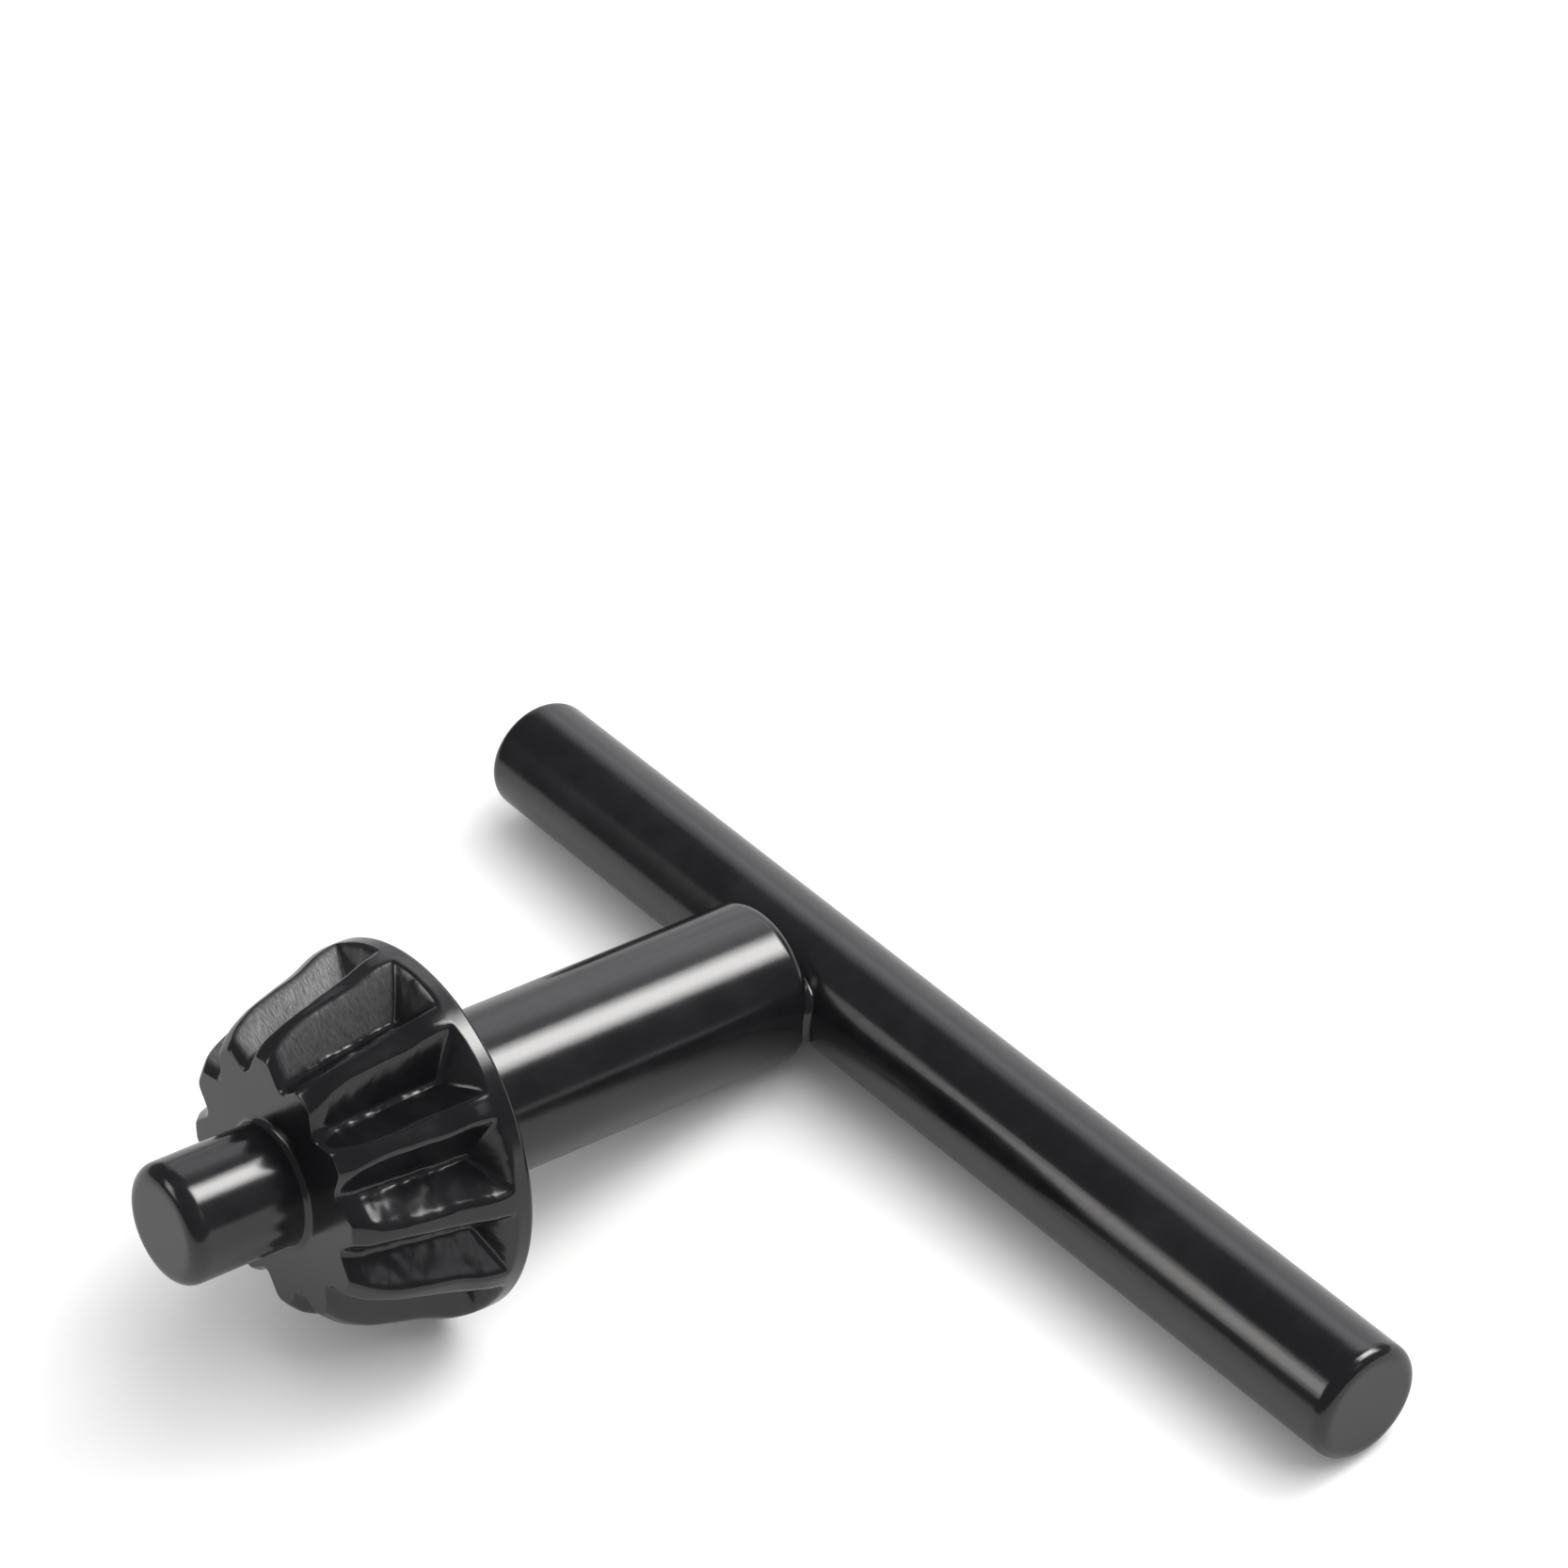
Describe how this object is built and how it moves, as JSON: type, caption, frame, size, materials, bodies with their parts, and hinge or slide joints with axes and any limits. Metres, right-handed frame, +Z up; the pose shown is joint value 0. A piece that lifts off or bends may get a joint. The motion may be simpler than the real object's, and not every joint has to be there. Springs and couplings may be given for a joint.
{
  "type": "drill chuck key",
  "caption": "T-shaped steel key for tightening a toothed drill chuck: bevel pinion with a pilot pin on a round shank, and an offset round cross handle welded over its end.",
  "frame": {"origin": "on the bench, below the middle of the key's box as it lies at rest", "axes": "+Z up from the bench, +Y along the cross handle towards its long arm, +X along the shank towards the pilot as seen from above"},
  "size_m": [0.0532, 0.0836, 0.0241],
  "materials": {
    "black_coat": "gloss black stoved coating over forged steel, thin enough to show the forging"
  },
  "bodies": {
    "root": {"key_head": "black_coat", "cross_handle": "black_coat", "weld_bead": "black_coat"}
  },
  "joints": []
}
